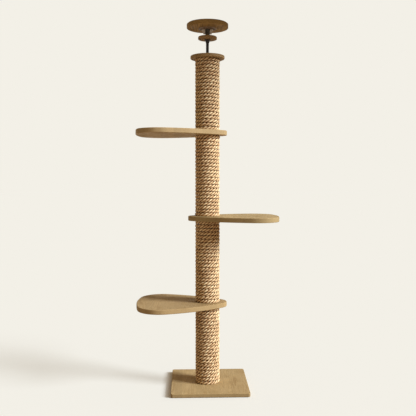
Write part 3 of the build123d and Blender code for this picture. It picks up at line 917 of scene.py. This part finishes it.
        name = f"sisal_rope_{self.number}"
        rope = new_piece(name, corners, quads.tolist() + caps, "tree", self.material)
        self.map_lay(rope.data, along, angles, ring, spot, len(caps))
        self.crease_grooves(rope.data, per_ring, rings)
        # The mask for the painted shade between turns: how far each point faces up or down.
        painted_gap_shade = rope.data.attributes.new(self.PAINTED_GAP_SHADE_MASK, "FLOAT", "POINT")
        painted_gap_shade.data.foreach_set("value", np.append(nearness.ravel(), (0.0, 0.0)).astype(np.float32))
        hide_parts(f"rope_winding_{self.number}")
        log.info("%s: %d turns, %.2f m of rope", rope.name, len(self.levels), along[-1])
        return rope

    def map_lay(
        self, mesh: bpy.types.Mesh, along: np.ndarray, angles: np.ndarray,
        ring: np.ndarray, spot: np.ndarray, cap_count: int,
    ) -> None:
        """Writes the map that the finish follows, and one that lays the rope out in rows.

        Args:
            mesh: The rope's mesh, with its quads first and its caps last.
            along: Place along the rope of each ring.
            angles: Angles of one strand's points.
            ring: Ring of each quad.
            spot: First point of each quad in its ring.
            cap_count: Number of triangles that close the ends.
        """
        strand, k = np.divmod(spot, self.points_per_strand)
        middle = self.STRAND_BAND * (strand + 0.5 + self.strands * self.number)
        spread = self.rope_radius * self.BAND_FILL
        low, high = middle + angles[k] * spread, middle + angles[k + 1] * spread
        near, far = along[ring], along[ring + 1]
        self.write_map(mesh, self.LAY_MAP, (near, low, near, high, far, high, far, low), cap_count)

        per_row = math.ceil((len(along) - 1) / self.map_rows)
        row, column = np.divmod(ring, per_row)
        left, right = column / per_row, (column + 1) / per_row
        per_ring = self.strands * self.points_per_strand
        filled = 1 - 2 * self.row_margin
        under = (row + self.row_margin + filled * spot / per_ring) / self.map_rows
        over = (row + self.row_margin + filled * (spot + 1) / per_ring) / self.map_rows
        rolled = (left, under, left, over, right, over, right, under)
        self.write_map(mesh, self.BAKE_MAP, rolled, cap_count)
        mesh.uv_layers.active = mesh.uv_layers[self.LAY_MAP]

    @staticmethod
    def write_map(mesh: bpy.types.Mesh, name: str, quads: tuple[np.ndarray, ...], cap_count: int) -> None:
        """Writes one map of the mesh.

        Args:
            mesh: The rope's mesh.
            name: The map's name.
            quads: The two places of each quad's four corners.
            cap_count: Number of triangles after the quads, which all get the map's origin.
        """
        places = np.concatenate((np.stack(quads, 1).ravel(), np.zeros(cap_count * 3 * 2)))
        mesh.uv_layers.new(name=name).data.foreach_set("uv", places.astype(np.float32))

    def crease_grooves(self, mesh: bpy.types.Mesh, per_ring: int, rings: int) -> None:
        """Marks the grooves between strands and the rims of the cut ends as sharp."""
        ends = np.empty(len(mesh.edges) * 2, np.int64)
        mesh.edges.foreach_get("vertices", ends)
        ends = ends.reshape(-1, 2)
        on_rope = (ends < rings * per_ring).all(1)
        ring_of, spot_of = np.divmod(ends, per_ring)
        groove = on_rope & (spot_of[:, 0] == spot_of[:, 1]) & (spot_of[:, 0] % self.points_per_strand == 0)
        at_end = (ring_of[:, 0] == 0) | (ring_of[:, 0] == rings - 1)
        rim = on_rope & (ring_of[:, 0] == ring_of[:, 1]) & at_end
        sharp = mesh.attributes.new("sharp_edge", "BOOLEAN", "EDGE")
        sharp.data.foreach_set("value", groove | rim)


@dataclass
class ThreadedSpindle:
    """The spindle with its cut thread, and the plain journal on its upper end."""

    material: bpy.types.Material
    pitch: float = 4.0 * MM
    thread_depth: float = 1.9 * MM
    chamfer: float = 2.0 * MM
    sides: int = 64
    journal_radius: float = 8.0 * MM
    groove_depth: float = 1.5 * MM
    groove_width: float = 6.0 * MM
    groove_height: float = 24.0 * MM
    journal_inset: float = 3.0 * MM
    edge: float = 0.6 * MM

    TOOTH = ((0.0, 0.0), (0.32, 0.0), (0.46, 1.0), (0.54, 1.0), (0.68, 1.0), (0.82, 0.0))

    def thread(self, bottom: float, top: float, crest: float) -> tuple[np.ndarray, list]:
        """Cuts a right-handed trapezoidal thread.

        Args:
            bottom: Level of the lower end.
            top: Level of the upper end.
            crest: Radius of the thread's crest.

        Returns:
            Points and faces of the closed rod.
        """
        root = crest - self.thread_depth
        turns = math.ceil((top - bottom) / self.pitch) + 2
        columns = []
        for side in range(self.sides):
            lead = side / self.sides - 1
            share = np.array([turn + place for turn in range(turns) for place, _ in self.TOOTH]) + lead
            raised = np.array([height for _ in range(turns) for _, height in self.TOOTH])
            level = np.clip(bottom + share * self.pitch, bottom, top)
            fade = np.clip(np.minimum(level - bottom, top - level) / self.chamfer, 0.0, 1.0)
            radius = root + self.thread_depth * raised * fade
            angle = 2 * math.pi * side / self.sides
            columns.append(np.stack((radius * math.cos(angle), radius * math.sin(angle), level), 1))
        rows = turns * len(self.TOOTH)
        points = np.concatenate(columns)
        faces = []
        for side in range(self.sides):
            beside = (side + 1) % self.sides
            shift = len(self.TOOTH) if beside == 0 else 0
            for row in range(rows - 1 - shift):
                near, far = side * rows + row, beside * rows + row + shift
                faces.append((near, far, far + 1, near + 1))
        return points, faces

    def build(self) -> bpy.types.Object:
        """Makes the spindle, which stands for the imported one.

        Returns:
            The spindle.
        """
        low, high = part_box("spindle")
        wheel_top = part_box("hand_wheel")[1].z
        crest = high.x
        points, faces = self.thread(low.z, wheel_top, crest)
        full, waist = self.journal_radius, self.journal_radius - self.groove_depth
        groove_low = wheel_top + self.groove_height - self.groove_width / 2
        groove_high = groove_low + self.groove_width
        outline = [
            (0.0, wheel_top - self.journal_inset),
            (full, wheel_top - self.journal_inset),
            (full, groove_low),
            (waist, groove_low),
            (waist, groove_high),
            (full, groove_high),
            (full, high.z - self.edge),
            (full - self.edge, high.z),
            (0.0, high.z),
        ]
        journal_points, journal_faces = revolve(outline, self.sides, len(points))
        corners = np.concatenate((points, journal_points))
        faces += journal_faces
        spindle = new_piece("threaded_spindle", corners, faces, "spindle_set", self.material)
        clean(spindle.data)
        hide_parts("spindle")
        log.info("%s: %.0f mm long", spindle.name, (high.z - low.z) / MM)
        return spindle


def revolve(outline: list, sides: int, first: int = 0) -> tuple[np.ndarray, list]:
    """Turns an outline round the Z axis.

    Args:
        outline: Radius and level of each point, from the lower end on the axis to the upper.
        sides: Number of sides.
        first: Number of the first point.

    Returns:
        Points and faces of the closed body.
    """
    points = []
    for side in range(sides):
        angle = 2 * math.pi * side / sides
        points += [(radius * math.cos(angle), radius * math.sin(angle), level) for radius, level in outline]
    rows = len(outline)
    faces = []
    for side in range(sides):
        beside = (side + 1) % sides
        for row in range(rows - 1):
            near, far = first + side * rows + row, first + beside * rows + row
            faces.append((near, far, far + 1, near + 1))
    return np.array(points), faces


def clean(mesh: bpy.types.Mesh, crease_angle: float = math.radians(32), nearest: float = 1e-6) -> None:
    """Merges points that meet, closes open rims, drops faces with no area and marks sharp edges.

    Args:
        mesh: The mesh.
        crease_angle: The least angle of a sharp edge.
        nearest: Points and edges up to this distance and length merge, in metres.
    """
    made = bmesh.new()
    made.from_mesh(mesh)
    bmesh.ops.remove_doubles(made, verts=made.verts, dist=nearest)
    bmesh.ops.dissolve_degenerate(made, edges=made.edges, dist=nearest)
    rims = [edge for edge in made.edges if edge.is_boundary]
    bmesh.ops.holes_fill(made, edges=rims, sides=0)
    bmesh.ops.recalc_face_normals(made, faces=made.faces)
    for edge in made.edges:
        edge.smooth = not (len(edge.link_faces) == 2 and edge.calc_face_angle(0.0) > crease_angle)
    for face in made.faces:
        face.smooth = True
    made.to_mesh(mesh)
    made.free()


@dataclass
class Post:
    """The rope-wound post with its tubes, plugs and the metal that pulls it together."""

    effects: Effects
    sections: int = 4
    rope_pale: Colour = tint(250, 227, 178)
    rope_deep: Colour = tint(168, 113, 56)
    painted_top_shade: float = 0.88

    def build(self) -> None:
        """Builds the windings and dresses the rest."""
        paper = PaperFinish("kraft_paper", tint(168, 132, 92), tint(120, 88, 58)).make(self.effects)
        pine = WoodFinish(
            "sawn_pine", tint(214, 182, 134), tint(176, 132, 82), stave_width=0.2, ring_spacing=0.005
        ).make(self.effects)
        zinc = MetalFinish("zinc_plate", tint(150, 138, 112), tint(190, 178, 150), 0.7, 0.42)
        for number in range(1, self.sections + 1):
            # Painted shade: the top winding's colours are dimmed, so the rope under the head renders darker.
            painted_dim = 1.0 if number < self.sections else self.painted_top_shade
            pale = tuple(channel * painted_dim for channel in self.rope_pale)
            deep = tuple(channel * painted_dim for channel in self.rope_deep)
            finish = RopeFinish(f"sisal_{number}", pale, deep, RopeWinding.STRAND_BAND)
            RopeWinding(number, finish.make(self.effects)).build()
            dress(paper, f"post_tube_{number}")
            dress(pine, f"lower_plug_{number}", f"upper_plug_{number}")
        metal_nodes = ("rope_end_screws", "insert_nuts", "shelf_studs", "base_bolt", "base_washer")
        dress(zinc.make(self.effects), *metal_nodes)


def dress_boards(effects: Effects, first: WoodFinish, looks: dict[str, tuple[Colour, float]]) -> None:
    """Dresses wooden boards, each with a grain of its own.

    Args:
        effects: The shared effects.
        first: The wood, with its seed one below the first board's.
        looks: By board, the tone that its colour is multiplied by, and how much painted shade darkens its
            upright sides beside its faces.
    """
    for place, (node, (tone, painted_side_shade)) in enumerate(looks.items(), start=1):
        low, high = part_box(node)
        own = {"name": f"{first.name}_{node}", "centre": tuple((low + high) / 2), "seed": first.seed + place}
        dress(replace(first, board_tone=tone, painted_side_shade=painted_side_shade, **own).make(effects), node)


@dataclass
class Boards:
    """The base board, the shelves and the mat under the base."""

    effects: Effects
    pale: Colour = tint(193, 167, 121)
    deep: Colour = tint(146, 116, 72)

    def build(self) -> None:
        """Dresses the boards and the mat."""
        # Per board: the tone its colour is multiplied by, and the painted shade on its upright sides.
        looks = {
            "base_plate": ((1.0, 0.99, 0.95), 0.77),
            # The lower shelf is dimmed more than the other boards, so its top renders darker.
            "lower_shelf": ((0.86, 0.83, 0.79), 0.98),
            "middle_shelf": ((0.98, 1.0, 0.97), 0.82),
            "upper_shelf": ((1.01, 1.0, 1.0), 0.84),
        }
        dress_boards(self.effects, WoodFinish("oak", self.pale, self.deep), looks)
        rubber = RubberFinish("base_rubber", tint(44, 42, 40)).make(self.effects)
        dress(rubber, "base_mat")


@dataclass
class CeilingClamp:
    """The collar, nut, spindle, hand wheel and ceiling disc that wedge the tree."""

    effects: Effects
    pale: Colour = tint(214, 176, 124)
    deep: Colour = tint(112, 84, 50)
    plate_thickness: float = 5.0 * MM
    core_margin: float = 1.0 * MM

    def build(self) -> None:
        """Builds the spindle and dresses the rest."""
        black = MetalFinish("blackened_steel", tint(44, 37, 31), tint(104, 92, 80), 0.7, 0.46)
        steel = black.make(self.effects)
        shape = {
            "core_radius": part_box("thrust_washer")[1].x + self.core_margin,
            "rib_top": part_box("ceiling_disc")[0].z - self.plate_thickness,
        }
        cast = MetalFinish("cast_flange", tint(142, 115, 86), tint(172, 150, 124), 0.15, 0.6, **shape)
        zinc = MetalFinish("zinc_screws", tint(150, 146, 138), tint(200, 198, 192), 1.0, 0.36)
        brass = MetalFinish("turned_brass", tint(186, 150, 88), tint(222, 190, 124), 1.0, 0.3)
        rubber = RubberFinish("pad_rubber", tint(52, 49, 46))
        # Per piece: the tone its colour is multiplied by, and the painted shade on its upright sides.
        looks = {
            "top_collar": ((0.94, 0.98, 1.0), 0.82),
            "hand_wheel": ((0.98, 1.0, 1.0), 0.82),
            # The ceiling disc is dimmed more than the collar and the wheel, most in blue.
            "ceiling_disc": ((0.84, 0.82, 0.62), 0.82),
        }
        wood = WoodFinish("dark_oak", self.pale, self.deep, ring_spacing=0.009, figure=0.8, seed=10.0)
        dress_boards(self.effects, wood, looks)
        dress(steel, "flared_nut", "lock_nut", "retaining_screw", "flange_screws")
        dress(cast.make(self.effects), "ceiling_flange")
        dress(zinc.make(self.effects), "collar_screws", "nut_screws", "spindle_nut")
        dress(brass.make(self.effects), "thrust_washer")
        dress(rubber.make(self.effects), "ceiling_pad")
        ThreadedSpindle(steel).build()


@dataclass
class Studio:
    """Floor, backdrop, lamps and camera. The floor and the backdrop share one pale colour."""

    backdrop: Colour = tint(243, 240, 231)
    key_colour: Colour = (0.98, 1.07, 1.22)
    fill: Colour = (1.24, 0.98, 0.72)
    fill_strength: float = 0.32
    bounce: float = 0.36
    key_strength: float = 1.67
    key_height: float = math.radians(26.0)
    key_side: float = math.radians(22.0)
    key_width: float = math.radians(20.0)
    flag_distance: float = 1.2
    flag_bottom: float = 2.62
    flag_height: float = 0.9
    flag_width: float = 1.2
    floor_reach: float = 60.0
    floor_fade: tuple[float, float] = (0.004, 0.075)
    far_shadow: float = 0.35
    camera_place: tuple = (-0.12672, -3.96398, 1.36053)
    camera_pitch: float = math.radians(2.672)
    camera_turn: float = math.radians(1.879)
    focal_pixels: float = 606.27
    picture_width: float = 416.0
    sensor: float = 36.0

    def seen_directly(self, graph: Graph) -> Socket:
        """Gives 1 for rays from the camera and for what gloss and glass show."""
        path = graph.add("LightPath").outputs
        shown = graph.math("MAXIMUM", path["Is Camera Ray"], path["Is Glossy Ray"])
        return graph.math("MAXIMUM", shown, path["Is Transmission Ray"])

    def build_world(self) -> None:
        """Makes the backdrop and the even fill light."""
        world = bpy.data.worlds.new("studio")
        bpy.context.scene.world = world
        world.use_nodes = True
        graph = Graph(world.node_tree)
        background = world.node_tree.nodes["Background"]
        shown = self.seen_directly(graph)
        light = tuple(channel * self.fill_strength for channel in self.fill)
        graph.feed(background.inputs["Color"], graph.mix(shown, light, self.backdrop))
        graph.feed(background.inputs["Strength"], 1.0)

    def build_floor(self) -> None:
        """Makes the floor, which keeps the object's shadow and fades into the backdrop."""
        reach = self.floor_reach
        corners = [(x * reach, y * reach, 0) for x, y in ((-1, -1), (1, -1), (1, 1), (-1, 1))]
        floor = new_sheet("studio_floor", corners)
        material = bpy.data.materials.new("studio_floor")
        material.use_nodes = True
        floor.data.materials.append(material)
        tree = material.node_tree
        tree.nodes.clear()
        graph = Graph(tree)
        shown = self.seen_directly(graph)
        matt = graph.add("BsdfDiffuse")
        direct = self.key_strength * math.sin(self.key_height)
        reaching = [direct * key + self.fill_strength * part for key, part in zip(self.key_colour, self.fill)]
        lit = tuple(shown_as / light for shown_as, light in zip(self.backdrop, reaching))
        bounced = tuple(channel * self.bounce for channel in self.fill)
        graph.feed(matt.inputs["Color"], graph.mix(shown, bounced, lit))
        plain = graph.add("Emission")
        graph.feed(plain.inputs["Color"], self.backdrop)
        low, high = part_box("base_plate")
        x, y, _ = graph.split(graph.place())
        past_x = graph.math("MAXIMUM", graph.minus(low.x, x), graph.minus(x, high.x))
        past_y = graph.math("MAXIMUM", graph.minus(low.y, y), graph.minus(y, high.y))
        fade = graph.ramp(graph.math("MAXIMUM", past_x, past_y), *self.floor_fade, 0.0, 1 - self.far_shadow)
        blend = graph.add("MixShader")
        graph.feed(blend.inputs[0], graph.times(fade, shown))
        graph.feed(blend.inputs[1], matt.outputs[0])
        graph.feed(blend.inputs[2], plain.outputs[0])
        underside = graph.add("NewGeometry").outputs["Backfacing"]
        from_below = graph.times(underside, graph.add("LightPath").outputs["Is Camera Ray"])
        see_through = graph.add("MixShader")
        graph.feed(see_through.inputs[0], from_below)
        graph.feed(see_through.inputs[1], blend.outputs[0])
        graph.feed(see_through.inputs[2], graph.add("BsdfTransparent").outputs[0])
        graph.feed(graph.add("OutputMaterial").inputs["Surface"], see_through.outputs[0])

    def build_key(self) -> None:
        """Makes the broad key light from the right, a little in front of the tree."""
        lamp = bpy.data.lights.new("key", "SUN")
        lamp.energy = self.key_strength * math.pi
        lamp.angle = self.key_width
        lamp.color = self.key_colour
        key = put_in_scene("key", lamp)
        level = Vector((math.cos(self.key_side), -math.sin(self.key_side), 0.0))
        towards = level * math.cos(self.key_height) + Vector((0.0, 0.0, math.sin(self.key_height)))
        key.rotation_mode = "QUATERNION"
        key.rotation_quaternion = towards.to_track_quat("Z", "Y")
        self.build_flag(level)

    def build_flag(self, towards: Vector) -> None:
        """Hangs an unseen board between the key light and the top of the post, which dims its head.

        Args:
            towards: The level direction towards the key light.
        """
        middle = towards * self.flag_distance
        across = Vector((-towards.y, towards.x, 0.0)) * self.flag_width / 2
        low, high = Vector((0, 0, self.flag_bottom)), Vector((0, 0, self.flag_bottom + self.flag_height))
        ends = ((-1, low), (1, low), (1, high), (-1, high))
        flag = new_sheet("studio_flag", [middle + across * side + level for side, level in ends])
        flag.visible_camera = False
        flag.visible_diffuse = False
        flag.visible_glossy = False
        flag.visible_transmission = False

    def build_camera(self) -> None:
        """Makes the camera at the photograph's place, angle and lens."""
        lens = bpy.data.cameras.new("camera")
        lens.sensor_width = self.sensor
        lens.lens = self.sensor * self.focal_pixels / self.picture_width
        lens.clip_end = 200.0
        camera = put_in_scene("camera", lens)
        camera.location = self.camera_place
        camera.rotation_euler = (math.pi / 2 - self.camera_pitch, 0.0, -self.camera_turn)
        bpy.context.scene.camera = camera

    def build(self) -> None:
        """Makes the whole studio."""
        bpy.context.scene.view_settings.view_transform = "Standard"
        self.build_world()
        self.build_floor()
        self.build_key()
        self.build_camera()


def main() -> None:
    """Builds the studio and the tree."""
    Studio().build()
    effects = Effects()
    Boards(effects).build()
    Post(effects).build()
    CeilingClamp(effects).build()


if __name__ == "__main__":
    main()
